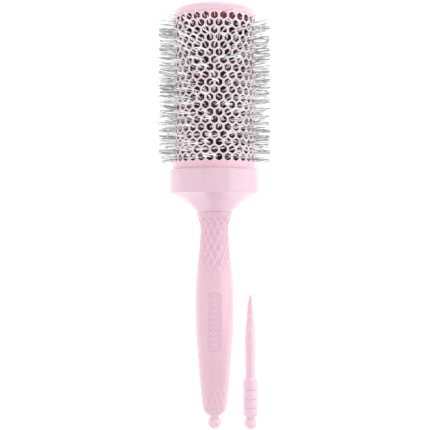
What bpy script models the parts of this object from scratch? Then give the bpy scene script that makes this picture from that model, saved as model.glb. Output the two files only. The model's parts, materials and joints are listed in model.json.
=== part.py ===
"""Round barrel brush: a vented metal barrel on a turned handle, with a sectioning pick in its end.

Every piece is turned or placed about the brush's own axis, which is local +Z. A place along
that axis is a distance from the ball of the seated pick. One empty lays the brush down on its
bristles, with its axis level and its tip towards +Y. A second pick lies loose beside the handle.
"""

import math

import bmesh
import bpy
from mathutils import Matrix, Vector

# All sizes are in metres.
BRUSH_LENGTH = 0.2843
GAP = 0.0003

# Vented barrel. Vents are cut in every second row, which lines them all up.
BARREL_RADIUS = 0.0275
BARREL_WALL = 0.0012
BARREL_HEAD = 0.2752
VENTS_AROUND = 29
VENT_CORNER_RADIUS = 0.0024
VENT_SIDES = 10
FIRST_ROW = 0.2717
ROW_PITCH = 0.00478
CUT_ROWS = range(0, 20, 2)

# Bristles: one ring of tufts for each cut row, but for the row behind the cap's spigot.
TUFT_ROWS = CUT_ROWS[1:]
TUFT_REACH = 0.038
HEAD_LEAN = math.radians(8.0)
FOOT_LEAN = math.radians(-6.0)
TUFT_TIP_WIDTH = 0.0016
TUFT_TIP_HEIGHT = 0.002
HUB_OUTER = 0.0048
HUB_BORE = 0.0032
HUB_HEIGHT = 0.0018

# Twisted wire core
WIRE_RADIUS = 0.0013
WIRE_OFFSET = 0.0015
WIRE_TWIST = 0.02
WIRE_FOOT = 0.1636
WIRE_HEAD = 0.2792
POINTS_PER_TWIST = 6

# Tip cap
CAP_DOME = 0.006
CAP_FLAT_RADIUS = 0.006
CAP_WALL = 0.0035
SPIGOT_RADIUS = 0.0258
SPIGOT_WALL = 0.0018
SPIGOT_FOOT = 0.265
SOCKET_RADIUS = 0.005
SOCKET_BORE = 0.0032
SOCKET_DEPTH_CLEARANCE = 0.0009
CAP_SOCKET_FOOT = 0.2735

# Collar and base plug, at the foot of the barrel
COLLAR_RADIUS = 0.0301
COLLAR_FOOT = 0.1584
COLLAR_HEAD = 0.174
COLLAR_ROUND = 0.0014
COLLAR_FLOOR = 0.0020
PLUG_RADIUS = 0.0258
PLUG_WALL = 0.0015
PLUG_HEAD = 0.1705

# Handle. The grip's outlines are (radius, place) from its head to its mouth, which is solid around
# its bore.
GRIP_OUTLINE = (
    (0.0120, 0.1457),
    (0.0116, 0.1427),
    (0.0098, 0.1376),
    (0.00945, 0.1320),
    (0.0103, 0.1191),
    (0.0119, 0.1054),
    (0.0129, 0.0870),
    (0.0126, 0.0690),
    (0.01155, 0.0523),
    (0.0105, 0.0389),
    (0.0093, 0.0249),
)
MOUTH_OUTLINE = ((0.0087, 0.0194), (0.0078, 0.0138), (0.0072, 0.0122), (0.0065, 0.0112))
GRIP_WALL = 0.0012
GRIP_HEAD = GRIP_OUTLINE[0][1]
GRIP_MOUTH = MOUTH_OUTLINE[-1][1]
CORE_RADIUS = 0.0067
CORE_BORE = 0.0057
CORE_FOOT = 0.0155
FLARE_FOOT_RADIUS = 0.0123
FLARE_COVE = 0.0014
FLARE_HOLLOW = ((0.0115, 0.1484), (0.0240, 0.1581))
SLEEVE_RADIUS = 0.0054
SLEEVE_BORE = 0.0043
SLEEVE_FOOT = 0.0375
SLEEVE_HEAD = 0.101

# Sectioning pick, with places measured from the end of its ball
PICK_LENGTH = 0.0961
PICK_SIDES = 12
SPIKE_REST = (0.0038, 0.0642)
SPIKE_OUTLINE = (
    (0.0005, 0.0949),
    (0.0017, 0.0885),
    (0.0030, 0.0760),
    SPIKE_REST,
    (0.0038, 0.0540),
    (0.0034, 0.0368),
)
SHOULDER_REST = (0.0053, 0.0337)
SHOULDER_OUTLINE = ((0.0038, 0.0365), (0.0049, 0.0350), SHOULDER_REST)
KNOB_RADIUS = 0.0052
RIB_RADIUS = 0.0054
RIB_PLACES = (0.0284, 0.0218, 0.0156)
RIB_STEP = 0.0003
KNOB_FOOT = ((0.0052, 0.0102), (0.0045, 0.0094))
NECK_RADIUS = 0.0031
BALL_RADIUS = 0.0046

# Placing. The brush lies on its two lowest lines of tufts, and the loose pick on its shoulder and spike.
HALF_PITCH = math.pi / VENTS_AROUND
UPWARD = math.radians(-90.0)
LAID_DOWN = math.radians(-90.0)
AXIS_HEIGHT = TUFT_REACH * math.cos(HALF_PITCH) + TUFT_TIP_WIDTH / 2 * math.sin(HALF_PITCH)
LOOSE_PICK_ASIDE = 0.0255
LOOSE_PICK_SETBACK = 0.008
SET_LENGTH = BRUSH_LENGTH + LOOSE_PICK_SETBACK

PINK = (0.86, 0.57, 0.65)


def new_collection(name):
    made = bpy.data.collections.new(name)
    bpy.context.scene.collection.children.link(made)
    return made


def new_material(name, colour, roughness, metallic=0.0):
    made = bpy.data.materials.new(name)
    made.use_nodes = True
    shader = made.node_tree.nodes["Principled BSDF"]
    shader.inputs["Base Color"].default_value = (*colour, 1.0)
    shader.inputs["Roughness"].default_value = roughness
    shader.inputs["Metallic"].default_value = metallic
    return made


def turned(name, outline, sides=VENTS_AROUND, first_side=UPWARD - HALF_PITCH):
    """A shape turned about Z from (radius, place) points that run down its outer side.

    An outline that starts on the axis ends there too. Any other closes up its inner side.
    """
    count = len(outline)
    edges = [(i, i + 1) for i in range(count - 1)]
    if outline[0][0] > 0.0:
        edges.append((count - 1, 0))
    mesh = bpy.data.meshes.new(name)
    mesh.from_pydata([(radius, 0.0, place) for radius, place in outline], edges, [])
    obj = bpy.data.objects.new(name, mesh)
    obj.rotation_euler.z = first_side
    screw = obj.modifiers.new("turn", "SCREW")
    screw.steps = screw.render_steps = sides
    screw.use_merge_vertices = True
    screw.merge_threshold = 0.00001
    screw.use_smooth_shade = True
    return obj


def tube(name, outer, inner, foot, head):
    return turned(name, [(outer, head), (outer, foot), (inner, foot), (inner, head)])


def arc(start, end, bulge, count):
    """Points on a round arc that bulges to the left of the way from start to end."""
    start, end = Vector(start), Vector(end)
    way = end - start
    left = Vector((-way.y, way.x)).normalized()
    radius = (way.length_squared / 4 + bulge * bulge) / (2 * bulge)
    centre = (start + end) / 2 + left * (bulge - radius)
    sweep = -2 * math.asin(way.length / 2 / radius)
    steps = [Matrix.Rotation(sweep * i / count, 2) for i in range(count + 1)]
    return [tuple(centre + step @ (start - centre)) for step in steps]


def oval(centre_place, radius, height, from_angle, to_angle, count):
    """Points on an ellipse that is centred on the axis, between two angles in radians."""
    angles = [from_angle + (to_angle - from_angle) * i / count for i in range(count + 1)]
    return [(radius * math.cos(a), centre_place + height * math.sin(a)) for a in angles]


def row_place(row):
    """Where a row of vents is along the brush. Row 0 is the nearest to the tip."""
    return FIRST_ROW - row * ROW_PITCH


def vent_cutter(collection):
    """A ten-sided prism through the barrel's wall at every vent."""
    vents = bmesh.new()
    middle_of_wall = Matrix.Translation((BARREL_RADIUS - BARREL_WALL / 2, 0.0, 0.0))
    out = middle_of_wall @ Matrix.Rotation(math.pi / 2, 4, "Y")
    for row in CUT_ROWS:
        for column in range(VENTS_AROUND):
            around = Matrix.Rotation(UPWARD + 2 * HALF_PITCH * column, 4, "Z")
            bmesh.ops.create_cone(
                vents,
                cap_ends=True,
                segments=VENT_SIDES,
                radius1=VENT_CORNER_RADIUS,
                radius2=VENT_CORNER_RADIUS,
                depth=3 * BARREL_WALL,
                matrix=Matrix.Translation((0.0, 0.0, row_place(row))) @ around @ out,
            )
    mesh = bpy.data.meshes.new("vents")
    vents.to_mesh(mesh)
    vents.free()
    cutter = bpy.data.objects.new("vents", mesh)
    cutter.display_type = "WIRE"
    cutter.hide_render = True
    collection.objects.link(cutter)
    return cutter


def barrel(cutter):
    """The rolled metal tube, with every second row of its vents."""
    foot = COLLAR_FOOT + COLLAR_FLOOR + GAP
    obj = tube("barrel", BARREL_RADIUS, BARREL_RADIUS - BARREL_WALL, foot, BARREL_HEAD)
    cut = obj.modifiers.new("vents", "BOOLEAN")
    cut.operation = "DIFFERENCE"
    cut.object = cutter
    return obj


def bristle_ring(name, row):
    """One row of tufts: a hub around the wire, and a tapered spoke out through each vent.

    The tufts near the head lean towards the tip, and those near the foot a little the other way.
    """
    share = (row - CUT_ROWS[0]) / (CUT_ROWS[-1] - CUT_ROWS[0])
    lean = math.tan(HEAD_LEAN + (FOOT_LEAN - HEAD_LEAN) * share)
    hub = row_place(row) - (BARREL_RADIUS - HUB_OUTER) * lean
    tip_place = hub + (TUFT_REACH - HUB_OUTER) * lean
    high, low = hub + HUB_HEIGHT / 2, hub - HUB_HEIGHT / 2
    ring = bmesh.new()
    section = [(HUB_OUTER, high), (HUB_OUTER, low), (HUB_BORE, low), (HUB_BORE, high)]
    verts = [ring.verts.new((radius, 0.0, place)) for radius, place in section]
    edges = [ring.edges.new((verts[i - 1], verts[i])) for i in range(4)]
    bmesh.ops.spin(
        ring,
        geom=verts + edges,
        axis=(0, 0, 1),
        cent=(0, 0, 0),
        angle=math.tau,
        steps=VENTS_AROUND,
        use_merge=True,
    )
    sides = [face for face in ring.faces if face.calc_center_median().xy.length > 0.95 * HUB_OUTER]
    wider = TUFT_TIP_WIDTH / (2 * HUB_OUTER * math.sin(HALF_PITCH))
    taller = TUFT_TIP_HEIGHT / HUB_HEIGHT
    for tip in bmesh.ops.extrude_discrete_faces(ring, faces=sides)["faces"]:
        centre = tip.calc_center_median()
        out = centre.xy.normalized().to_3d()
        side = Vector((-out.y, out.x, 0.0))
        for vert in tip.verts:
            offset = vert.co - centre
            vert.co = out * TUFT_REACH + side * offset.dot(side) * wider
            vert.co.z = tip_place + offset.z * taller
    bmesh.ops.recalc_face_normals(ring, faces=ring.faces)
    mesh = bpy.data.meshes.new(name)
    ring.to_mesh(mesh)
    ring.free()
    obj = bpy.data.objects.new(name, mesh)
    obj.rotation_euler.z = UPWARD - HALF_PITCH
    return obj


def wire_strand(name, phase):
    """One of the two wires that are twisted together to grip the bristles."""
    turns = (WIRE_HEAD - WIRE_FOOT) / WIRE_TWIST
    count = round(turns * POINTS_PER_TWIST)
    curve = bpy.data.curves.new(name, "CURVE")
    curve.dimensions = "3D"
    curve.bevel_depth = WIRE_RADIUS
    curve.bevel_resolution = 1
    curve.use_fill_caps = True
    spline = curve.splines.new("POLY")
    spline.points.add(count)
    for i, point in enumerate(spline.points):
        angle = phase + math.tau * turns * i / count
        place = WIRE_FOOT + (WIRE_HEAD - WIRE_FOOT) * i / count
        point.co = (WIRE_OFFSET * math.cos(angle), WIRE_OFFSET * math.sin(angle), place, 1.0)
    return bpy.data.objects.new(name, curve)


def tip_cap():
    """The domed cap, with a spigot inside the barrel and a blind socket for the wire."""
    flat_edge = math.acos(CAP_FLAT_RADIUS / BARREL_RADIUS)
    shoulder = BRUSH_LENGTH - CAP_DOME * math.sin(flat_edge)
    inside_radius = SPIGOT_RADIUS - SPIGOT_WALL
    inside_edge = math.acos(SOCKET_RADIUS / inside_radius)
    socket_end = WIRE_HEAD + SOCKET_DEPTH_CLEARANCE
    outline = [(0.0, BRUSH_LENGTH)]
    outline += oval(shoulder, BARREL_RADIUS, CAP_DOME, flat_edge, 0.0, 5)
    outline += [(BARREL_RADIUS, BARREL_HEAD + GAP), (SPIGOT_RADIUS, BARREL_HEAD + GAP)]
    outline += [(SPIGOT_RADIUS, SPIGOT_FOOT), (inside_radius, SPIGOT_FOOT)]
    outline += oval(shoulder, inside_radius, CAP_DOME - CAP_WALL, 0.0, inside_edge, 3)
    outline += [(SOCKET_RADIUS, CAP_SOCKET_FOOT), (SOCKET_BORE, CAP_SOCKET_FOOT)]
    outline += [(SOCKET_BORE, socket_end), (0.0, socket_end)]
    return turned("tip_cap", outline)


def barrel_collar():
    """The broad ring that takes the foot of the barrel."""
    bore = BARREL_RADIUS + GAP
    spigot_hole = CORE_RADIUS + GAP
    floor = COLLAR_FOOT + COLLAR_FLOOR
    start = (COLLAR_RADIUS - COLLAR_ROUND, COLLAR_HEAD)
    end = (COLLAR_RADIUS, COLLAR_HEAD - COLLAR_ROUND)
    outline = [(bore, COLLAR_HEAD), *arc(start, end, COLLAR_ROUND * (1 - math.sqrt(0.5)), 2)]
    outline += [(COLLAR_RADIUS, COLLAR_FOOT), (spigot_hole, COLLAR_FOOT)]
    outline += [(spigot_hole, floor), (bore, floor)]
    return turned("barrel_collar", outline)


def base_plug():
    """The cup inside the foot of the barrel, with the socket that anchors the wire."""
    foot = COLLAR_FOOT + COLLAR_FLOOR + GAP
    floor = foot + PLUG_WALL
    socket_end = WIRE_FOOT - SOCKET_DEPTH_CLEARANCE
    outline = [(0.0, socket_end), (SOCKET_BORE, socket_end), (SOCKET_BORE, PLUG_HEAD)]
    outline += [(SOCKET_RADIUS, PLUG_HEAD), (SOCKET_RADIUS, floor), (PLUG_RADIUS - PLUG_WALL, floor)]
    outline += [(PLUG_RADIUS - PLUG_WALL, PLUG_HEAD), (PLUG_RADIUS, PLUG_HEAD)]
    outline += [(PLUG_RADIUS, foot), (0.0, foot)]
    return turned("base_plug", outline)


def handle_core():
    """The stiff tube through the handle, with the flare that carries the collar."""
    rim = (COLLAR_RADIUS, COLLAR_FOOT - GAP)
    foot = (FLARE_FOOT_RADIUS, GRIP_HEAD + GAP)
    head = COLLAR_FOOT + COLLAR_FLOOR
    outline = [*arc(rim, foot, -FLARE_COVE, 5), (CORE_RADIUS, foot[1]), (CORE_RADIUS, CORE_FOOT)]
    outline += [(CORE_BORE, CORE_FOOT), (CORE_BORE, head), (CORE_RADIUS, head)]
    outline += [(CORE_RADIUS, FLARE_HOLLOW[0][1]), *arc(*FLARE_HOLLOW, FLARE_COVE, 3)]
    return turned("handle_core", outline)


def handle_grip():
    """The outer grip, hollow around the core and thick at its mouth."""
    inside = [(radius - GRIP_WALL, place) for radius, place in reversed(GRIP_OUTLINE)]
    hollow_foot = CORE_FOOT - GAP
    bore = [(CORE_BORE, GRIP_MOUTH), (CORE_BORE, hollow_foot), (CORE_RADIUS + GAP, hollow_foot)]
    return turned("handle_grip", [*GRIP_OUTLINE, *MOUTH_OUTLINE, *bore, *inside])


def pick(name):
    """A sectioning pick: a long spike, a ribbed knob and a ball."""
    outline = [(0.0, PICK_LENGTH), *SPIKE_OUTLINE, *SHOULDER_OUTLINE]
    for place in RIB_PLACES:
        outline += [(RIB_RADIUS, place), (KNOB_RADIUS, place - RIB_STEP)]
    outline += [*KNOB_FOOT, (NECK_RADIUS, KNOB_FOOT[-1][1])]
    ball_top = math.acos(NECK_RADIUS / BALL_RADIUS)
    outline += oval(BALL_RADIUS, BALL_RADIUS, BALL_RADIUS, ball_top, -math.pi / 2, 6)
    return turned(name, outline, PICK_SIDES, 0.0)


def new_axis(collection, name, place, tilt):
    """An empty whose +Z runs along a brush or a pick that lies down, tip towards +Y."""
    empty = bpy.data.objects.new(name, None)
    empty.location = place
    empty.rotation_euler.x = LAID_DOWN - tilt
    empty.hide_render = True
    collection.objects.link(empty)
    return empty


def loose_pick_lie():
    """The place of the loose pick's ball end, and how far its tip dips towards the floor."""
    shoulder_radius, shoulder = SHOULDER_REST
    spike_radius, spike = SPIKE_REST
    tilt = math.atan2(shoulder_radius - spike_radius, spike - shoulder)
    height = shoulder_radius * math.cos(tilt) + shoulder * math.sin(tilt)
    return (LOOSE_PICK_ASIDE, -SET_LENGTH / 2, height), tilt


def main():
    for old in list(bpy.data.objects):
        bpy.data.objects.remove(old)

    parts = new_collection("round_barrel_brush")
    cutters = new_collection("cutters")
    handle_end = (0.0, LOOSE_PICK_SETBACK - SET_LENGTH / 2, AXIS_HEIGHT)
    brush_axis = new_axis(parts, "brush_axis", handle_end, 0.0)
    loose_axis = new_axis(parts, "loose_pick_axis", *loose_pick_lie())

    pink_plastic = new_material("pink_plastic", PINK, 0.35)
    pink_grip = new_material("pink_grip", PINK, 0.5)
    pink_coating = new_material("pink_coating", PINK, 0.3)
    liner_plastic = new_material("liner_plastic", (0.80, 0.80, 0.80), 0.5)
    steel_wire = new_material("steel_wire", (0.60, 0.60, 0.60), 0.3, 1.0)
    nylon = new_material("nylon", (0.75, 0.76, 0.76), 0.4)

    def put(obj, surface, axis=brush_axis):
        parts.objects.link(obj)
        obj.parent = axis
        obj.data.materials.append(surface)

    cutter = vent_cutter(cutters)
    cutter.parent = brush_axis
    put(barrel(cutter), pink_coating)
    put(tip_cap(), pink_plastic)
    put(barrel_collar(), pink_plastic)
    put(base_plug(), liner_plastic)
    put(handle_core(), pink_plastic)
    put(handle_grip(), pink_grip)
    put(tube("pick_sleeve", SLEEVE_RADIUS, SLEEVE_BORE, SLEEVE_FOOT, SLEEVE_HEAD), liner_plastic)
    put(wire_strand("wire_strand_a", 0.0), steel_wire)
    put(wire_strand("wire_strand_b", math.pi), steel_wire)
    for number, row in enumerate(TUFT_ROWS, start=1):
        put(bristle_ring(f"bristle_ring_{number}", row), nylon)
    put(pick("sectioning_pick"), pink_plastic)
    put(pick("loose_pick"), pink_plastic, loose_axis)


main()
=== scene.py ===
"""Looks of the round barrel brush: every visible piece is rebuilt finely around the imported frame."""

import json
import math

import bmesh
import bpy
import numpy as np
from mathutils import Matrix, Vector


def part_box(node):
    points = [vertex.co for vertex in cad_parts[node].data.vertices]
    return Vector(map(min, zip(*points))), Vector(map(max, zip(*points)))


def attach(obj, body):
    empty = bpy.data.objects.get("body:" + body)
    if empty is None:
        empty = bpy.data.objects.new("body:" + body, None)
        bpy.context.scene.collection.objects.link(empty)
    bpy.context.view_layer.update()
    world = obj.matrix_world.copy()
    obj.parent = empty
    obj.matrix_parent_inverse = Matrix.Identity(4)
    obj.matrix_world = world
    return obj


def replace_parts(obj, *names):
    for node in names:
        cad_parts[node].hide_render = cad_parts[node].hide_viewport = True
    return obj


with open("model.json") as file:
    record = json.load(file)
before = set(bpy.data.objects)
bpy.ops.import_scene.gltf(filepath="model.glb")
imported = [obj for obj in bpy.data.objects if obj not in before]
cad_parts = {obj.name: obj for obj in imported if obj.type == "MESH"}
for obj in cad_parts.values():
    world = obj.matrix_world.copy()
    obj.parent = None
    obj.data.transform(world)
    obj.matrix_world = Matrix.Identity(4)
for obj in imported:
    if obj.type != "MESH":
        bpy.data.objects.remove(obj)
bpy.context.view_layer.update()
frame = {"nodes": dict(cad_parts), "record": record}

# Everything is in metres. A place along the brush is a distance from the end of the seated pick's ball.
GAP = 0.0003
SEAM = 0.00005
BRUSH_LENGTH = 0.2843
SIDES = 128

# Barrel
BARREL_RADIUS = 0.0275
BARREL_WALL = 0.0012
BARREL_FOOT = 0.1607
BARREL_HEAD = 0.2752
VENTS_AROUND = 29
VENT_CORNER_RADIUS = 0.0024
VENT_CORNER_HALF_ANGLE = math.radians(8.0)
VENT_RIM_WIDTH = 0.0005
ROWS = 20
FIRST_ROW = 0.2717
ROW_PITCH = 0.00478

# Bristles
ROOT_RADIUS = 0.003
TUFT_REACH = 0.0378
HEAD_LEAN = math.radians(8.0)
FOOT_LEAN = math.radians(-3.0)
FILAMENTS = 3
FILAMENTS_AT_CAP = 1
FILAMENT_RADIUS = 0.00028
# Painted light and shade: the share of grey strands, drawn at random, rises from the top of the brush to its
# sides
GREY_SHARE_TOP_PAINTED_LIGHT = 0.1
GREY_SHARE_SIDES_PAINTED_SHADE = 0.8
FILAMENT_SIDES = 3
# Filament faces deeper than this inside the barrel take a painted shade
SHADE_DEPTH = 0.004
CRIMP = (0.00005, 0.00016)
CRIMP_WAVE = (0.0045, 0.0065)

# How unevenly the bristles stand: standard deviations, in metres or radians, unless the name says otherwise
TUFT_RADIUS = 0.0008
TUFT_SHIFT = 0.0003
TUFT_TURN = 0.02
TUFT_SWEEP = 0.11
TUFT_TILT = math.radians(4.0)
ROW_TILT = math.radians(1.5)
FILAMENT_TILT = math.radians(0.9)
FILAMENT_SWEEP = 0.012
ROOT_TURN = 0.12
STRAY_SHARE = 0.1
STRAY_FACTOR = 3.0
MOST_SHORTENED = 0.0012
SHORT_SHARE = 0.12
SHORTER_BY = 0.003

# Wire core
WIRE_RADIUS = 0.0013
WIRE_OFFSET = 0.0015
WIRE_TWIST = 0.02
WIRE_FOOT = 0.1636
WIRE_HEAD = 0.2792
WIRE_SIDES = 16
WIRE_POINTS = 145

# Tip cap
CAP_DOME = 0.006
CAP_FLAT_RADIUS = 0.006
CAP_WALL = 0.0035
SPIGOT_RADIUS = 0.0258
SPIGOT_WALL = 0.0018
SPIGOT_FOOT = 0.265
SOCKET_RADIUS = 0.005
SOCKET_BORE = 0.0032
SOCKET_CLEARANCE = 0.0009
CAP_SOCKET_FOOT = 0.2735
CAP_EDGE_ROUND = 0.0001

# Collar
COLLAR_RADIUS = 0.0301
COLLAR_FOOT = 0.1584
COLLAR_HEAD = 0.174
COLLAR_ROUND = 0.0012
COLLAR_FLOOR = 0.002
EDGE_ROUND = 0.00012

# Handle
GRIP_OUTLINE = (
    (0.0120, 0.1457),
    (0.0116, 0.1427),
    (0.0098, 0.1376),
    (0.00945, 0.1320),
    (0.0103, 0.1191),
    (0.0119, 0.1054),
    (0.0129, 0.0870),
    (0.0126, 0.0690),
    (0.01155, 0.0523),
    (0.0105, 0.0389),
    (0.0093, 0.0249),
)
MOUTH_OUTLINE = ((0.0087, 0.0194), (0.0078, 0.0138), (0.0072, 0.0122), (0.0065, 0.0112))
GRIP_WALL = 0.0012
GRIP_HEAD = GRIP_OUTLINE[0][1]
GRIP_MOUTH = MOUTH_OUTLINE[-1][1]
GRIP_RINGS = 380
GRIP_SIDES = 240
CORE_RADIUS = 0.0067
CORE_BORE = 0.0057
CORE_FOOT = 0.0155
FLARE_FOOT_RADIUS = 0.0123
FLARE_COVE = 0.0014
FLARE_HOLLOW = ((0.0115, 0.1484), (0.0240, 0.1581))

# Lattice on the grip: ridges that wind both ways and stand between sunk diamonds, in two zones that each
# have a (foot, head, fade at the foot, fade at the head, share of the full depth)
RIDGES = 14
RIDGE_LEAD = 0.137
RIDGE_HALF_WIDTH = 0.0009
DIAMOND_DEPTH = 0.00045
LATTICE_ZONES = ((0.0127, 0.0422, 0.001, 0.018, 0.45), (0.1000, 0.1425, 0.016, 0.0003, 1.0))
LATTICE_RIM = 0.1426

# Panel on the grip
PANEL_FOOT, PANEL_HEAD = 0.0532, 0.0922
PANEL_HALF_WIDTH = 0.0048
PANEL_CORNER = 0.0022
PANEL_DEPTH = 0.00035
PANEL_EDGE = 0.0004
MOTIF_ASIDE = -0.0010
MOTIF_PITCH = 0.0037
MOTIF_HALF_WIDTH = 0.0027
MOTIF_HALF_LENGTH = 0.0018
MOTIF_HEIGHT = 0.0004
MOTIF_REACH = 0.0182
MOTIF_INNER_EDGE = (0.3, 0.5)
MOTIF_OUTER_EDGE = (0.8, 1.0)

# Sectioning pick, with places from the end of its ball
PICK_LENGTH = 0.0961
SPIKE_REST = (0.0038, 0.0642)
SPIKE_OUTLINE = (
    (0.0005, 0.0949),
    (0.0017, 0.0885),
    (0.0030, 0.0760),
    SPIKE_REST,
    (0.0038, 0.0540),
    (0.0034, 0.0368),
)
SHOULDER_REST = (0.0053, 0.0337)
SHOULDER_OUTLINE = ((0.0038, 0.0365), (0.0049, 0.0350), SHOULDER_REST)
KNOB_RADIUS = 0.0052
RIB_RADIUS = 0.0054
RIB_PLACES = (0.0284, 0.0218, 0.0156)
RIB_STEP = 0.0003
RIB_GROOVE = 0.0005
KNOB_FOOT = ((0.0052, 0.0102), (0.0045, 0.0094))
NECK_RADIUS = 0.0031
BALL_RADIUS = 0.0046
PICK_EDGE_ROUND = 0.0005
PICK_SIDES = 64

# The brush's axis in the frame: local +Z runs to the tip, and local -Y is up.
TIP = Vector(frame["record"]["mounts"][0]["pos_m"])
UPWARD = -math.pi / 2
BRUSH_AXIS = Matrix.Translation((0.0, TIP.y - BRUSH_LENGTH, TIP.z)) @ Matrix.Rotation(-math.pi / 2, 4, "X")

# Camera
CAMERA_DISTANCE = 0.585
CAMERA_PLACE = 0.1435
CAMERA_ASIDE = 0.00034
FOCAL_LENGTH = 73.0

# Light: each softbox has a (place, size, power in watts)
SOFTBOXES = {
    "right_softbox": ((1.08, 0.0, 0.56), (0.7, 1.24), 3.4),
    "left_softbox": ((-0.95, 0.0, 0.6), (1.2, 1.2), 2.9),
    "top_softbox": ((0.0, 0.0, 1.5), (1.6, 1.6), 3.4),
    "far_softbox": ((0.4, 1.0, 0.5), (1.5, 0.9), 5.0),
    "near_softbox": ((0.0, -1.0, 0.6), (1.5, 0.8), 2.2),
}
WORLD_STRENGTH = 0.54
PAPER_GLOW = 0.35

# Colours
PINK = (0.83, 0.555, 0.66)
PINK_LOW = (0.80, 0.525, 0.635)
GRIP_PINK = (0.84, 0.525, 0.625)
GRIP_PINK_LOW = (0.82, 0.50, 0.605)
# Painted shade for the grip's hollows and painted highlight for its raised parts
PAINTED_SHADE_PINK = (0.79, 0.46, 0.575)
PAINTED_HIGHLIGHT_PINK = (0.90, 0.60, 0.70)
CAP_PINK = (0.90, 0.64, 0.73)
CAP_PINK_LOW = (0.87, 0.60, 0.70)
COATING_PINK = (0.96, 0.635, 0.735)
COATING_PINK_LOW = (0.92, 0.565, 0.675)
# Painted highlight on the vents' rounded rims
VENT_RIM_PAINTED_HIGHLIGHT = (1.0, 0.93, 0.955)
VENT_RIM_PAINTED_HIGHLIGHT_LOW = (1.0, 0.86, 0.905)
# Painted shade: the pink spigot inside the barrel is given as deep red that sinks into black
SPIGOT_PAINTED_SHADE_RED = (0.30, 0.025, 0.045)
SPIGOT_PAINTED_SHADE_RED_LOW = (0.09, 0.012, 0.022)
SPIGOT_LIT_FROM = 0.2715
SPIGOT_DARK_TO = 0.2668
DEEP_SHADE = (0.02, 0.015, 0.017)

# How far the grip's relief takes on the painted shade of its hollows or the painted highlight of its raised
# parts, from 0 to 1
PANEL_PAINTED_SHADE = 0.6
MOTIF_PAINTED_HIGHLIGHT = 0.9
LATTICE_RIM_PAINTED_HIGHLIGHT = 0.8


# ---------------------------------------------------------------- materials


def nodes_of(material):
    material.use_nodes = True
    tree = material.node_tree
    return tree, tree.nodes["Principled BSDF"]


def noise(tree, scale, detail=2.0, stretch=(1.0, 1.0, 1.0)):
    """A noise texture in the object's own metres."""
    place = tree.nodes.new("ShaderNodeTexCoord")
    mapping = tree.nodes.new("ShaderNodeMapping")
    mapping.inputs["Scale"].default_value = stretch
    texture = tree.nodes.new("ShaderNodeTexNoise")
    texture.inputs["Scale"].default_value = scale
    texture.inputs["Detail"].default_value = detail
    tree.links.new(place.outputs["Object"], mapping.inputs["Vector"])
    tree.links.new(mapping.outputs["Vector"], texture.inputs["Vector"])
    return texture.outputs["Fac"]


def spread(tree, value, low, high):
    """Maps a noise value onto a range."""
    ranged = tree.nodes.new("ShaderNodeMapRange")
    ranged.inputs["From Min"].default_value = 0.3
    ranged.inputs["From Max"].default_value = 0.7
    ranged.inputs["To Min"].default_value = low
    ranged.inputs["To Max"].default_value = high
    tree.links.new(value, ranged.inputs["Value"])
    return ranged.outputs["Result"]


def blend(tree, share, first, second):
    """A mix of two colours, each given as numbers or as the output of a node."""
    mix = tree.nodes.new("ShaderNodeMix")
    mix.data_type = "RGBA"
    tree.links.new(share, mix.inputs[0])
    for socket, colour in ((mix.inputs[6], first), (mix.inputs[7], second)):
        if isinstance(colour, bpy.types.NodeSocket):
            tree.links.new(colour, socket)
        else:
            socket.default_value = (*colour, 1.0)
    return mix.outputs[2]


def mixed(tree, value, first, second):
    """A colour that drifts between two with a noise value."""
    return blend(tree, spread(tree, value, 0.0, 1.0), first, second)


def bump(tree, shader, value, strength, distance):
    node = tree.nodes.new("ShaderNodeBump")
    node.inputs["Strength"].default_value = strength
    node.inputs["Distance"].default_value = distance
    tree.links.new(value, node.inputs["Height"])
    tree.links.new(node.outputs["Normal"], shader.inputs["Normal"])


def moulded(name, first, second, roughness, grain, grain_strength, gloss=0.5, coat=0.0):
    """Moulded or sprayed colour: it drifts a little, and has a fine grain and an uneven sheen."""
    material = bpy.data.materials.new(name)
    tree, shader = nodes_of(material)
    tree.links.new(mixed(tree, noise(tree, 45.0), first, second), shader.inputs["Base Color"])
    tree.links.new(
        spread(tree, noise(tree, 160.0, 3.0), roughness - 0.04, roughness + 0.05), shader.inputs["Roughness"]
    )
    shader.inputs["Specular IOR Level"].default_value = gloss
    shader.inputs["Coat Weight"].default_value = coat
    shader.inputs["Coat Roughness"].default_value = 0.2
    bump(tree, shader, noise(tree, grain), grain_strength, 0.00005)
    return material


def metal(name, colour, roughness):
    """Drawn wire or bare sheet, with streaks along the brush."""
    material = bpy.data.materials.new(name)
    tree, shader = nodes_of(material)
    shader.inputs["Metallic"].default_value = 1.0
    streaks = noise(tree, 900.0, 3.0, (1.0, 0.08, 1.0))
    tree.links.new(mixed(tree, streaks, [0.8 * c for c in colour], colour), shader.inputs["Base Color"])
    tree.links.new(spread(tree, streaks, roughness, roughness + 0.15), shader.inputs["Roughness"])
    bump(tree, shader, streaks, 0.2, 0.00003)
    return material


def relief_grip_plastic(name):
    """The grip's plastic, which is deeper pink in its hollows, a painted shade, and paler on its ridges, a
    painted highlight.

    The mesh says where: its "hollow" and "ridge" attributes run from 0 to 1.
    """
    material = moulded(
        name, GRIP_PINK, GRIP_PINK_LOW,
        roughness=0.30, grain=2500.0, grain_strength=0.12, gloss=1.0, coat=0.8,
    )
    tree, shader = nodes_of(material)
    colour = shader.inputs["Base Color"].links[0].from_socket
    for attribute, tint in (("hollow", PAINTED_SHADE_PINK), ("ridge", PAINTED_HIGHLIGHT_PINK)):
        share = tree.nodes.new("ShaderNodeAttribute")
        share.attribute_name = attribute
        colour = blend(tree, share.outputs["Fac"], colour, tint)
    tree.links.new(colour, shader.inputs["Base Color"])
    return material


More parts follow.
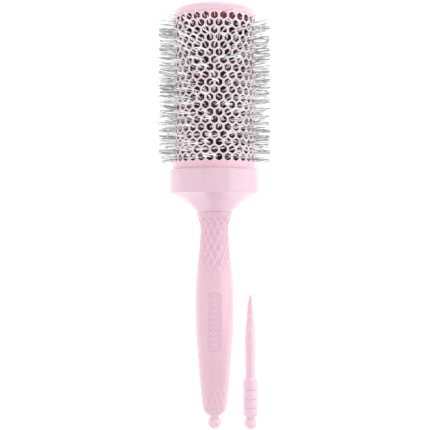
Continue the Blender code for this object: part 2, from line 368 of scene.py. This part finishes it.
def shaded(name, first, second, lit_from, dark_to):
    """Plastic in the shade of the barrel, with the shade painted: its colour sinks into black between two
    places.
    """
    material = bpy.data.materials.new(name)
    tree, shader = nodes_of(material)
    place = tree.nodes.new("ShaderNodeTexCoord")
    parts = tree.nodes.new("ShaderNodeSeparateXYZ")
    tree.links.new(place.outputs["Object"], parts.inputs["Vector"])
    depth = tree.nodes.new("ShaderNodeMapRange")
    depth.inputs["From Min"].default_value = BRUSH_AXIS.translation.y + dark_to
    depth.inputs["From Max"].default_value = BRUSH_AXIS.translation.y + lit_from
    tree.links.new(parts.outputs["Y"], depth.inputs["Value"])
    lit = mixed(tree, noise(tree, 90.0), first, second)
    colour = blend(tree, depth.outputs["Result"], DEEP_SHADE, lit)
    tree.links.new(colour, shader.inputs["Base Color"])
    tree.links.new(spread(tree, noise(tree, 160.0, 3.0), 0.4, 0.5), shader.inputs["Roughness"])
    return material


def filament(name, first, second, roughness, gloss=0.5, glow=0.0):
    """Nylon: smooth and slightly clear, and paler in places along each strand. Any glow is painted light."""
    material = bpy.data.materials.new(name)
    tree, shader = nodes_of(material)
    tree.links.new(mixed(tree, noise(tree, 140.0), first, second), shader.inputs["Base Color"])
    tree.links.new(spread(tree, noise(tree, 500.0), roughness, roughness + 0.1), shader.inputs["Roughness"])
    shader.inputs["Specular IOR Level"].default_value = gloss
    shader.inputs["Emission Color"].default_value = (1.0, 1.0, 1.0, 1.0)
    shader.inputs["Emission Strength"].default_value = glow
    return material


# ---------------------------------------------------------------- shapes


def finished(name, mesh, materials, axis=BRUSH_AXIS, body="brush", sharp=math.radians(40.0)):
    """Makes a piece of a mesh that was built about an axis, and rides it on its body."""
    mesh.transform(axis)
    mesh.shade_smooth()
    mesh.set_sharp_from_angle(angle=sharp)
    for material in materials:
        mesh.materials.append(material)
    piece = bpy.data.objects.new(name, mesh)
    bpy.context.scene.collection.objects.link(piece)
    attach(piece, body)
    return piece


def arc(start, end, bulge, count):
    """Points on a round arc that bulges to the left of the way from start to end."""
    start, end = Vector(start), Vector(end)
    way = end - start
    left = Vector((-way.y, way.x)).normalized()
    radius = (way.length_squared / 4 + bulge * bulge) / (2 * bulge)
    centre = (start + end) / 2 + left * (bulge - radius)
    sweep = -2 * math.asin(way.length / 2 / radius)
    steps = [Matrix.Rotation(sweep * i / count, 2) for i in range(count + 1)]
    return [tuple(centre + step @ (start - centre)) for step in steps]


def oval(centre_place, radius, height, from_angle, to_angle, count):
    """Points on an ellipse that is centred on the axis, between two angles in radians."""
    angles = [from_angle + (to_angle - from_angle) * i / count for i in range(count + 1)]
    return [(radius * math.cos(a), centre_place + height * math.sin(a)) for a in angles]


def eased(outline, radius, steps=4, turn=math.radians(25.0)):
    """The outline with each corner that turns sharply rounded off."""
    closed = outline[0][0] > 0.0
    points = [Vector(p) for p in outline]
    out = []
    for i, corner in enumerate(points):
        at_end = i in (0, len(points) - 1) and not closed
        before, after = points[i - 1], points[(i + 1) % len(points)]
        to_before, to_after = before - corner, after - corner
        if at_end or (-to_before).angle(to_after) < turn:
            out.append(tuple(corner))
            continue
        reach = min(radius, 0.45 * to_before.length, 0.45 * to_after.length)
        start = corner + to_before.normalized() * reach
        end = corner + to_after.normalized() * reach
        for k in range(steps + 1):
            t = k / steps
            out.append(tuple(start * (1 - t) ** 2 + corner * 2 * t * (1 - t) + end * t**2))
    return out


def flowing(outline, steps):
    """Points on a smooth curve through the outline's points."""
    points = [Vector(p) for p in outline]
    padded = [2 * points[0] - points[1], *points, 2 * points[-1] - points[-2]]
    out = []
    for a, b, c, d in zip(padded, padded[1:], padded[2:], padded[3:]):
        for k in range(steps):
            t = k / steps
            square = (2 * a - 5 * b + 4 * c - d) * t**2
            cube = (3 * b - a - 3 * c + d) * t**3
            out.append(tuple(0.5 * (2 * b + (c - a) * t + square + cube)))
    return [*out, tuple(points[-1])]


def grid_mesh(name, rings, closed_profile, capped):
    """A mesh from rings of points, each an array of (x, y, z), joined around and along."""
    rings = np.asarray(rings)
    count, sides = rings.shape[:2]
    verts = rings.reshape(-1, 3).tolist()
    along = count if closed_profile else count - 1
    faces = []
    for i in range(along):
        here, there = i * sides, (i + 1) % count * sides
        for j in range(sides):
            k = (j + 1) % sides
            faces.append((here + j, there + j, there + k, here + k))
    if capped:
        for ring, step in ((0, 1), (count - 1, -1)):
            verts.append(rings[ring].mean(axis=0).tolist())
            for j in range(sides):
                pair = (ring * sides + j, ring * sides + (j + 1) % sides)
                faces.append((*pair[::step], len(verts) - 1))
    mesh = bpy.data.meshes.new(name)
    mesh.from_pydata(verts, [], faces)
    return mesh


def turned_mesh(name, outline, sides=SIDES):
    """A shape turned about Z from points that run down its outer side."""
    closed = outline[0][0] > 0.0
    if not closed:
        outline = outline[1:-1]
    angles = np.arange(sides) * math.tau / sides
    radii, places = np.array(outline).T
    rings = np.stack(
        [
            radii[:, None] * np.cos(angles),
            radii[:, None] * np.sin(angles),
            np.repeat(places[:, None], sides, axis=1),
        ],
        axis=2,
    )
    return grid_mesh(name, rings, closed, not closed)


def row_place(row):
    """Where a row of vents is along the brush. Row 0 is the nearest to the tip."""
    return FIRST_ROW - row * ROW_PITCH


def lean(row):
    """How far the tufts of a row lean towards the tip."""
    return HEAD_LEAN + (FOOT_LEAN - HEAD_LEAN) * row / (ROWS - 1)


# ---------------------------------------------------------------- barrel


def vented_sheet():
    """The barrel's sheet, unrolled: (around, along) points and faces, with a staggered vent in each cell."""
    half_width = math.pi * BARREL_RADIUS / VENTS_AROUND
    third = ROW_PITCH / 3
    sheet = bmesh.new()
    rounding = sheet.edges.layers.float.new("bevel_weight_edge")

    def vert(around, along):
        return sheet.verts.new((around, along, 0.0))

    cell_corners = [
        (0.0, 2 * third),
        (-half_width, third),
        (-half_width, -third),
        (0.0, -2 * third),
        (half_width, -third),
        (half_width, third),
    ]
    for row in range(ROWS):
        for column in range(VENTS_AROUND):
            around = (2 * column + row % 2) * half_width
            along = row_place(row)
            outer = [vert(around + x, along + y) for x, y in cell_corners]
            rim = []
            for corner in range(6):
                middle = math.pi / 2 + corner * math.pi / 3
                for side in (-1, 1):
                    angle = middle + side * VENT_CORNER_HALF_ANGLE
                    rim.append(
                        vert(
                            around + VENT_CORNER_RADIUS * math.cos(angle),
                            along + VENT_CORNER_RADIUS * math.sin(angle),
                        )
                    )
            for k in range(6):
                following = (k + 1) % 6
                sheet.faces.new((outer[k], rim[2 * k], rim[2 * k + 1]))
                sheet.faces.new((outer[k], rim[2 * k + 1], rim[2 * following], outer[following]))
            for k in range(12):
                sheet.edges.get((rim[k - 1], rim[k]))[rounding] = 1.0
    for row, end, sign in ((0, BARREL_HEAD, 1), (ROWS - 1, BARREL_FOOT, -1)):
        edge = []
        for k in range(2 * VENTS_AROUND + 1):
            around = (k + row % 2) * half_width
            reach = 2 * third if k % 2 == 0 else third
            edge.append((vert(around, row_place(row) + sign * reach), vert(around, end)))
        for (a, b), (c, d) in zip(edge, edge[1:]):
            sheet.faces.new((a, c, d, b))
    return sheet


def make_barrel(coating, inside, rim):
    sheet = vented_sheet()
    for vert in sheet.verts:
        angle = UPWARD + vert.co.x / BARREL_RADIUS
        vert.co = (BARREL_RADIUS * math.cos(angle), BARREL_RADIUS * math.sin(angle), vert.co.y)
    bmesh.ops.remove_doubles(sheet, verts=sheet.verts, dist=0.00002)
    for face in sheet.faces:
        outward = face.calc_center_median()
        outward.z = 0.0
        face.normal_update()
        if face.normal.dot(outward) < 0.0:
            face.normal_flip()
    mesh = bpy.data.meshes.new("vented_barrel")
    sheet.to_mesh(mesh)
    sheet.free()
    barrel = finished("vented_barrel", mesh, [coating, inside, rim])
    wall = barrel.modifiers.new("wall", "SOLIDIFY")
    wall.thickness = BARREL_WALL
    wall.offset = -1.0
    # The wall's inner side takes the painted shade
    wall.material_offset = 1
    rims = barrel.modifiers.new("rims", "BEVEL")
    rims.width = VENT_RIM_WIDTH
    rims.segments = 2
    # The rounded rims take the painted highlight
    rims.material = 2
    rims.limit_method = "WEIGHT"
    rims.harden_normals = True
    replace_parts(barrel, "barrel")


# ---------------------------------------------------------------- bristles


def filament_lines(rng, row, count):
    """The middle lines of all filaments of a row, as (filament, point, xyz), and how far out each point is.

    The filaments of a vent share a direction, so they stay together as a tuft, and a few stray.
    """
    columns = np.repeat(np.arange(VENTS_AROUND), count)
    many = len(columns)

    def by_vent(spread_of_all):
        return np.repeat(rng.normal(0.0, spread_of_all, VENTS_AROUND), count)

    stray = np.where(rng.random(many) < STRAY_SHARE, STRAY_FACTOR, 1.0)
    off = TUFT_RADIUS * np.sqrt(rng.random(many))
    off_angle = rng.random(many) * math.tau
    vent_angle = UPWARD + (2 * columns + row % 2) * math.pi / VENTS_AROUND + by_vent(TUFT_TURN)
    vent_angle = vent_angle + off * np.cos(off_angle) / BARREL_RADIUS
    vent_place = row_place(row) + by_vent(TUFT_SHIFT) + off * np.sin(off_angle)
    tilt = lean(row) + rng.normal(0.0, ROW_TILT) + by_vent(TUFT_TILT)
    slope = np.tan(tilt + stray * rng.normal(0.0, FILAMENT_TILT, many))
    root_angle = vent_angle + rng.normal(0.0, ROOT_TURN, many)
    tip_angle = vent_angle + by_vent(TUFT_SWEEP) + stray * rng.normal(0.0, FILAMENT_SWEEP, many)
    reach = TUFT_REACH - MOST_SHORTENED * rng.random(many) ** 2
    reach = reach - SHORTER_BY * (rng.random(many) < SHORT_SHARE)
    root = ROOT_RADIUS if row_place(row) < SPIGOT_FOOT else SPIGOT_RADIUS + GAP
    inner = np.linspace(root, BARREL_RADIUS, 7)[:-1]
    outer = np.linspace(0.0, 1.0, 10)
    radius = np.concatenate(
        [np.tile(inner, (many, 1)), BARREL_RADIUS + (reach - BARREL_RADIUS)[:, None] * outer], axis=1
    )
    inward = np.clip((BARREL_RADIUS - radius) / (BARREL_RADIUS - ROOT_RADIUS), 0.0, 1.0)
    outward = np.clip((radius - BARREL_RADIUS) / (TUFT_REACH - BARREL_RADIUS), 0.0, 1.0)
    angle = vent_angle[:, None] + inward * (root_angle - vent_angle)[:, None]
    angle = angle + outward**1.5 * (tip_angle - vent_angle)[:, None]
    place = vent_place[:, None] + (radius - BARREL_RADIUS) * slope[:, None]
    crimp = rng.uniform(*CRIMP, many)[:, None] * (1.0 - 0.6 * inward)
    wave = math.tau * radius / rng.uniform(*CRIMP_WAVE, many)[:, None]
    angle = angle + crimp * np.sin(wave + rng.random(many)[:, None] * math.tau) / radius
    place = place + crimp * np.sin(wave + rng.random(many)[:, None] * math.tau)
    return np.stack([radius * np.cos(angle), radius * np.sin(angle), place], axis=2), radius


def tuft_mesh(name, lines, radii, grey):
    """Thin tubes along the middle lines.

    Faces deep inside the barrel take the second material, a painted shade, and the grey filaments' others
    the third.
    """
    filaments, points = lines.shape[:2]
    ways = np.gradient(lines, axis=1)
    ways /= np.linalg.norm(ways, axis=2, keepdims=True)
    side = np.cross(ways, (0.0, 0.0, 1.0))
    side /= np.linalg.norm(side, axis=2, keepdims=True)
    other = np.cross(ways, side)
    thick = FILAMENT_RADIUS * np.interp(np.arange(points), (0, points - 2, points - 1), (1.0, 1.0, 0.7))
    verts = []
    for k in range(FILAMENT_SIDES):
        turn = math.tau * k / FILAMENT_SIDES
        verts.append(lines + thick[None, :, None] * (math.cos(turn) * side + math.sin(turn) * other))
    verts = np.stack(verts, axis=2).reshape(-1, 3)
    ring = np.arange(filaments * points).reshape(filaments, points) * FILAMENT_SIDES
    outer_kind = np.where(grey, 2, 0)
    kind = np.where(radii[:, 1:] < BARREL_RADIUS - SHADE_DEPTH, 1, outer_kind[:, None]).reshape(-1)
    faces = []
    for k in range(FILAMENT_SIDES):
        following = (k + 1) % FILAMENT_SIDES
        here, there = ring[:, :-1], ring[:, 1:]
        quads = np.stack([here + k, here + following, there + following, there + k], axis=2)
        faces.append(quads.reshape(-1, 4))
    ends = [ring[:, :1] + np.arange(FILAMENT_SIDES)[::-1], ring[:, -1:] + np.arange(FILAMENT_SIDES)]
    all_faces = np.concatenate(faces).tolist() + np.concatenate(ends).tolist()
    kinds = np.concatenate([*[kind] * FILAMENT_SIDES, np.ones(filaments), outer_kind])
    mesh = bpy.data.meshes.new(name)
    mesh.from_pydata(verts.tolist(), [], all_faces)
    mesh.polygons.foreach_set("material_index", kinds.astype(np.int32))
    return mesh


def make_bristles(white, grey, inner):
    """Tufts in pairs of rows, one piece for each ring of the frame, bent where they meet the floor."""
    rng = np.random.default_rng(11)
    rings = [node for node in frame["nodes"] if node.startswith("bristle_ring_")]
    rings.sort(key=lambda node: int(node.split("_")[-1]))
    for number, node in enumerate(rings, start=1):
        rows = [2 * number - 1, 2 * number] if number > 1 else [0, 1, 2]
        if number == len(rings):
            rows.append(ROWS - 1)
        made = [filament_lines(rng, row, FILAMENTS if row else FILAMENTS_AT_CAP) for row in rows]
        lines = np.concatenate([line for line, _ in made])
        radii = np.concatenate([radius for _, radius in made])
        floor = TIP.z - FILAMENT_RADIUS
        lines[:, :, 1] = np.minimum(lines[:, :, 1], floor)
        # Painted light and shade: strands whose tips point up are mostly white, and those that point
        # sideways mostly grey
        sideways = np.abs(lines[:, -1, 0]) / TUFT_REACH
        grey_share_painted_shade = GREY_SHARE_TOP_PAINTED_LIGHT + (GREY_SHARE_SIDES_PAINTED_SHADE - GREY_SHARE_TOP_PAINTED_LIGHT) * sideways**2
        mesh = tuft_mesh(f"tufts_{number}", lines, radii, rng.random(len(lines)) < grey_share_painted_shade)
        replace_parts(finished(f"tufts_{number}", mesh, [white, inner, grey]), node)


# ---------------------------------------------------------------- turned pieces


def make_cap(plastic, spigot_plastic):
    flat_edge = math.acos(CAP_FLAT_RADIUS / BARREL_RADIUS)
    shoulder = BRUSH_LENGTH - CAP_DOME * math.sin(flat_edge)
    inside_radius = SPIGOT_RADIUS - SPIGOT_WALL
    inside_edge = math.acos(SOCKET_RADIUS / inside_radius)
    socket_end = WIRE_HEAD + SOCKET_CLEARANCE
    outline = [(0.0, BRUSH_LENGTH)]
    outline += oval(shoulder, BARREL_RADIUS, CAP_DOME, flat_edge, 0.0, 28)
    outline += [(BARREL_RADIUS, BARREL_HEAD + SEAM), (SPIGOT_RADIUS, BARREL_HEAD + SEAM)]
    outline += [(SPIGOT_RADIUS, SPIGOT_FOOT), (inside_radius, SPIGOT_FOOT)]
    outline += oval(shoulder, inside_radius, CAP_DOME - CAP_WALL, 0.0, inside_edge, 12)
    outline += [(SOCKET_RADIUS, CAP_SOCKET_FOOT), (SOCKET_BORE, CAP_SOCKET_FOOT)]
    outline += [(SOCKET_BORE, socket_end), (0.0, socket_end)]
    mesh = turned_mesh("domed_cap", eased(outline, CAP_EDGE_ROUND))
    cap = finished("domed_cap", mesh, [plastic, spigot_plastic])
    # The spigot below the barrel's head takes the painted shade
    inner_limit = BRUSH_AXIS.translation.y + BARREL_HEAD
    for face in mesh.polygons:
        face.material_index = int(face.center.y < inner_limit)
    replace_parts(cap, "tip_cap")


def make_collar(plastic):
    bore = BARREL_RADIUS + SEAM
    spigot_hole = CORE_RADIUS + GAP
    floor = COLLAR_FOOT + COLLAR_FLOOR
    start = (COLLAR_RADIUS - COLLAR_ROUND, COLLAR_HEAD)
    end = (COLLAR_RADIUS, COLLAR_HEAD - COLLAR_ROUND)
    outline = [(bore, COLLAR_HEAD), *arc(start, end, COLLAR_ROUND * (1 - math.sqrt(0.5)), 8)]
    outline += [(COLLAR_RADIUS, COLLAR_FOOT), (spigot_hole, COLLAR_FOOT)]
    outline += [(spigot_hole, floor), (bore, floor)]
    mesh = turned_mesh("collar_ring", eased(outline, EDGE_ROUND))
    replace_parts(finished("collar_ring", mesh, [plastic]), "barrel_collar")


def make_core(plastic):
    rim = (COLLAR_RADIUS, COLLAR_FOOT)
    foot = (FLARE_FOOT_RADIUS, GRIP_HEAD + 2 * SEAM)
    head = COLLAR_FOOT + COLLAR_FLOOR
    outline = [*arc(rim, foot, -FLARE_COVE, 24), (CORE_RADIUS, foot[1]), (CORE_RADIUS, CORE_FOOT)]
    outline += [(CORE_BORE, CORE_FOOT), (CORE_BORE, head), (CORE_RADIUS, head)]
    outline += [(CORE_RADIUS, FLARE_HOLLOW[0][1]), *arc(*FLARE_HOLLOW, FLARE_COVE, 12)]
    mesh = turned_mesh("flared_core", eased(outline, EDGE_ROUND))
    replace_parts(finished("flared_core", mesh, [plastic]), "handle_core")


def make_wires(steel):
    """Two round wires, twisted together."""
    turns = (WIRE_HEAD - WIRE_FOOT) / WIRE_TWIST
    points = np.linspace(0.0, 1.0, WIRE_POINTS)
    places = WIRE_FOOT + (WIRE_HEAD - WIRE_FOOT) * points
    around = np.arange(WIRE_SIDES) * math.tau / WIRE_SIDES
    for letter, phase in (("a", 0.0), ("b", math.pi)):
        angle = phase + math.tau * turns * points
        middle = np.stack([WIRE_OFFSET * np.cos(angle), WIRE_OFFSET * np.sin(angle), places], axis=1)
        way = np.gradient(middle, axis=0)
        way /= np.linalg.norm(way, axis=1, keepdims=True)
        out = np.stack([np.cos(angle), np.sin(angle), 0 * angle], axis=1)
        side = np.cross(way, out)
        rings = [
            m + WIRE_RADIUS * (np.outer(np.cos(around), o) + np.outer(np.sin(around), s))
            for m, o, s in zip(middle[::-1], out[::-1], side[::-1])
        ]
        mesh = grid_mesh(f"wire_{letter}", rings, False, True)
        bring_out(mesh)
        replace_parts(finished(f"wire_{letter}", mesh, [steel]), f"wire_strand_{letter}")


def bring_out(mesh):
    """Turns a closed mesh's faces outward."""
    whole = bmesh.new()
    whole.from_mesh(mesh)
    bmesh.ops.recalc_face_normals(whole, faces=whole.faces)
    whole.to_mesh(mesh)
    whole.free()


def pick_outline():
    outline = [(0.0, PICK_LENGTH), *flowing(SPIKE_OUTLINE, 8), *SHOULDER_OUTLINE]
    for place in RIB_PLACES:
        groove = (KNOB_RADIUS - RIB_GROOVE, place - RIB_STEP)
        outline += [(RIB_RADIUS, place), groove, (KNOB_RADIUS, place - 3 * RIB_STEP)]
    outline += [*KNOB_FOOT, (NECK_RADIUS, KNOB_FOOT[-1][1])]
    outline += oval(BALL_RADIUS, BALL_RADIUS, BALL_RADIUS, math.acos(NECK_RADIUS / BALL_RADIUS), -1.5, 24)
    return [*eased(outline, PICK_EDGE_ROUND), (0.0, 0.0)]


def make_picks(plastic):
    """The seated pick, and the loose one, which lies on its shoulder and its spike."""
    shoulder_radius, shoulder = SHOULDER_REST
    spike_radius, spike = SPIKE_REST
    tilt = math.atan2(shoulder_radius - spike_radius, spike - shoulder)
    low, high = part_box("loose_pick")
    height = shoulder_radius * math.cos(tilt) + shoulder * math.sin(tilt)
    lying = Matrix.Translation(((low[0] + high[0]) / 2, low[1], height))
    lying = lying @ Matrix.Rotation(-math.pi / 2 - tilt, 4, "X")
    for name, node, axis, body in (
        ("pick_in_handle", "sectioning_pick", BRUSH_AXIS, "seated_pick"),
        ("pick_beside", "loose_pick", lying, "spare_pick"),
    ):
        mesh = turned_mesh(name, pick_outline(), PICK_SIDES)
        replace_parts(finished(name, mesh, [plastic], axis, body), node)


# ---------------------------------------------------------------- grip


def ramp(values, start, end):
    """0 up to start, 1 from end on, and smooth between."""
    share = np.clip((values - start) / (end - start), 0.0, 1.0)
    return share * share * (3 - 2 * share)


def lattice(angle, place, radius):
    """How much a point is sunk between the crossing ridges, and how much it is on one, both from 0 to 1.

    Both fade out at the inner end of each zone.
    """
    zone = 0.0
    for foot, head, foot_fade, head_fade, depth in LATTICE_ZONES:
        zone = zone + depth * ramp(place, foot, foot + foot_fade) * (1 - ramp(place, head - head_fade, head))
    ridge = 0.0
    for hand in (-1, 1):
        turns = RIDGES * (angle / math.tau + hand * place / RIDGE_LEAD)
        nearest = np.abs(turns - np.round(turns)) * math.tau * radius / RIDGES
        ridge = np.maximum(ridge, 1 - ramp(nearest, 0.0, RIDGE_HALF_WIDTH))
    rim = 1 - ramp(np.abs(place - LATTICE_RIM), 0.0, RIDGE_HALF_WIDTH / 2)
    return zone * (1 - ridge), np.maximum(zone * ridge, LATTICE_RIM_PAINTED_HIGHLIGHT * rim)


def panel(angle, place, radius):
    """How much a point is in the sunk panel that faces up, and on one of the lozenges that stand in it."""
    across = (np.mod(angle - UPWARD + math.pi, math.tau) - math.pi) * radius
    along = place - (PANEL_FOOT + PANEL_HEAD) / 2
    over_x = np.abs(across) - (PANEL_HALF_WIDTH - PANEL_CORNER)
    over_y = np.abs(along) - ((PANEL_HEAD - PANEL_FOOT) / 2 - PANEL_CORNER)
    outside = np.hypot(np.maximum(over_x, 0.0), np.maximum(over_y, 0.0)) - PANEL_CORNER
    inside = np.minimum(np.maximum(over_x, over_y), 0.0)
    distance = outside + inside
    sunk = 1 - ramp(distance, -PANEL_EDGE, 0.0)
    along_motif = along / MOTIF_PITCH
    from_middle = (along_motif - np.round(along_motif)) * MOTIF_PITCH
    lozenge = np.abs(across - MOTIF_ASIDE) / MOTIF_HALF_WIDTH
    lozenge = lozenge + np.abs(from_middle) / MOTIF_HALF_LENGTH
    ring = ramp(lozenge, *MOTIF_INNER_EDGE) * (1 - ramp(lozenge, *MOTIF_OUTER_EDGE))
    return sunk, ring * (np.abs(along) < MOTIF_REACH)


def make_grip(plastic):
    curve = np.array(flowing((*GRIP_OUTLINE, *MOUTH_OUTLINE), 12))
    places = np.linspace(GRIP_HEAD, GRIP_MOUTH, GRIP_RINGS)
    radii = np.interp(-places, -curve[:, 1], curve[:, 0])
    angles = np.arange(GRIP_SIDES) * math.tau / GRIP_SIDES
    angle, place = np.meshgrid(angles, places)
    radius = np.repeat(radii[:, None], GRIP_SIDES, axis=1)
    diamond, ridge = lattice(angle, place, radius)
    sunk, raised = panel(angle, place, radius)
    relief = MOTIF_HEIGHT * raised - PANEL_DEPTH * sunk - DIAMOND_DEPTH * diamond
    outer = np.stack([(radius + relief) * np.cos(angle), (radius + relief) * np.sin(angle), place], axis=2)
    hollow_foot = CORE_FOOT - GAP
    bore = [(CORE_BORE, GRIP_MOUTH), (CORE_BORE, hollow_foot), (CORE_RADIUS + GAP, hollow_foot)]
    bore += [(r - GRIP_WALL, p) for r, p in reversed(GRIP_OUTLINE)]
    inner = [
        np.stack([r * np.cos(angles), r * np.sin(angles), np.full(GRIP_SIDES, p)], axis=1) for r, p in bore
    ]
    mesh = grid_mesh("relief_grip", [*outer, *inner], True, False)
    # Painted shade in the diamonds and the panel, painted highlight on the ridges, the lattice's rim and the
    # motif
    hollow = np.maximum(diamond, PANEL_PAINTED_SHADE * sunk)
    ridge = np.maximum(ridge, MOTIF_PAINTED_HIGHLIGHT * raised)
    for name, share in (("hollow", hollow), ("ridge", ridge)):
        values = np.zeros(len(mesh.vertices), np.float32)
        values[: share.size] = share.reshape(-1)
        mesh.attributes.new(name, "FLOAT", "POINT").data.foreach_set("value", values)
    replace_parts(finished("relief_grip", mesh, [plastic]), "handle_grip")


# ---------------------------------------------------------------- stage


def make_stage():
    bpy.ops.mesh.primitive_plane_add(size=8.0, location=(0.0, 0.0, 0.0))
    floor = bpy.context.object
    floor.name = "floor"
    paper = bpy.data.materials.new("paper")
    tree, shader = nodes_of(paper)
    white = mixed(tree, noise(tree, 6.0), (0.93, 0.93, 0.93), (0.95, 0.95, 0.95))
    tree.links.new(white, shader.inputs["Base Color"])
    shader.inputs["Roughness"].default_value = 0.9
    shader.inputs["Emission Color"].default_value = (1.0, 1.0, 1.0, 1.0)
    shader.inputs["Emission Strength"].default_value = PAPER_GLOW
    floor.data.materials.append(paper)


def softbox(name, place, size, power):
    """An area light that faces the brush."""
    data = bpy.data.lights.new(name, "AREA")
    data.shape = "RECTANGLE"
    data.size, data.size_y = size
    data.energy = power
    lamp = bpy.data.objects.new(name, data)
    lamp.location = place
    lamp.rotation_euler = (-Vector(place)).to_track_quat("-Z", "Y").to_euler()
    bpy.context.scene.collection.objects.link(lamp)


def make_light():
    """Bright from the right, dimmer from the left, and white all round."""
    world = bpy.data.worlds.new("studio")
    bpy.context.scene.world = world
    world.use_nodes = True
    background = world.node_tree.nodes["Background"]
    background.inputs["Color"].default_value = (1.0, 1.0, 1.0, 1.0)
    background.inputs["Strength"].default_value = WORLD_STRENGTH
    for name, (place, size, power) in SOFTBOXES.items():
        softbox(name, place, size, power)
    bpy.context.scene.view_settings.view_transform = "Standard"


def make_camera():
    """Straight above the middle of the brush, looking down, with the tip at the top of the frame."""
    data = bpy.data.cameras.new("camera")
    data.lens = FOCAL_LENGTH
    data.clip_start, data.clip_end = 0.05, 20.0
    camera = bpy.data.objects.new("camera", data)
    camera.location = BRUSH_AXIS @ Vector((CAMERA_ASIDE, -CAMERA_DISTANCE, CAMERA_PLACE))
    bpy.context.scene.collection.objects.link(camera)
    bpy.context.scene.camera = camera


def main():
    make_camera()
    make_light()
    make_stage()

    smooth = {"roughness": 0.27, "grain": 2500.0, "grain_strength": 0.12, "gloss": 1.0, "coat": 1.0}
    plastic = moulded("pink_plastic_fine", PINK, PINK_LOW, **smooth)
    cap_plastic = moulded("pale_cap_fine", CAP_PINK, CAP_PINK_LOW, **smooth)
    # The grip's plastic carries painted shade in its hollows and a painted highlight on its ridges
    grip = relief_grip_plastic("pink_grip_fine")
    coating = moulded(
        "pink_coating_fine", COATING_PINK, COATING_PINK_LOW,
        roughness=0.28, grain=1200.0, grain_strength=0.2, gloss=0.8, coat=0.3,
    )
    # Painted highlight for the vents' rims
    rim = moulded(
        "vent_rim_painted_highlight", VENT_RIM_PAINTED_HIGHLIGHT, VENT_RIM_PAINTED_HIGHLIGHT_LOW,
        roughness=0.2, grain=1200.0, grain_strength=0.1, gloss=1.0, coat=0.5,
    )
    # Painted shade for the spigot inside the barrel
    spigot_plastic = shaded("shaded_plastic", SPIGOT_PAINTED_SHADE_RED, SPIGOT_PAINTED_SHADE_RED_LOW, SPIGOT_LIT_FROM, SPIGOT_DARK_TO)
    # Painted shade on the barrel's inner wall
    inside = metal("painted_shade_barrel_inside", (0.20, 0.10, 0.12), roughness=0.5)
    steel = metal("twisted_steel", (0.55, 0.55, 0.56), roughness=0.3)
    # White strands with a painted glow, set mostly on the top of the brush as painted light
    white_nylon_painted_light = filament("white_nylon_painted_light", (0.88, 0.89, 0.89), (1.0, 1.0, 1.0), 0.2, gloss=1.0, glow=0.12)
    # Grey strands: their tone differs at random, and on the brush's sides they stand for painted shade
    grey_nylon_painted_shade = filament("grey_nylon_painted_shade", (0.30, 0.33, 0.32), (0.62, 0.65, 0.64), 0.2, gloss=1.0)
    # Painted shade for the filaments deep inside the barrel
    shaded_nylon = filament("nylon_in_painted_shade", (0.07, 0.055, 0.058), (0.22, 0.19, 0.195), 0.4)
    liner = moulded(
        "liner_fine", (0.72, 0.72, 0.72), (0.80, 0.80, 0.80),
        roughness=0.5, grain=1800.0, grain_strength=0.3,
    )

    make_barrel(coating, inside, rim)
    make_bristles(white_nylon_painted_light, grey_nylon_painted_shade, shaded_nylon)
    make_cap(cap_plastic, spigot_plastic)
    make_collar(plastic)
    make_core(plastic)
    make_wires(steel)
    make_grip(grip)
    make_picks(cap_plastic)
    for node in ("base_plug", "pick_sleeve"):
        for slot in frame["nodes"][node].material_slots:
            slot.material = liner


main()
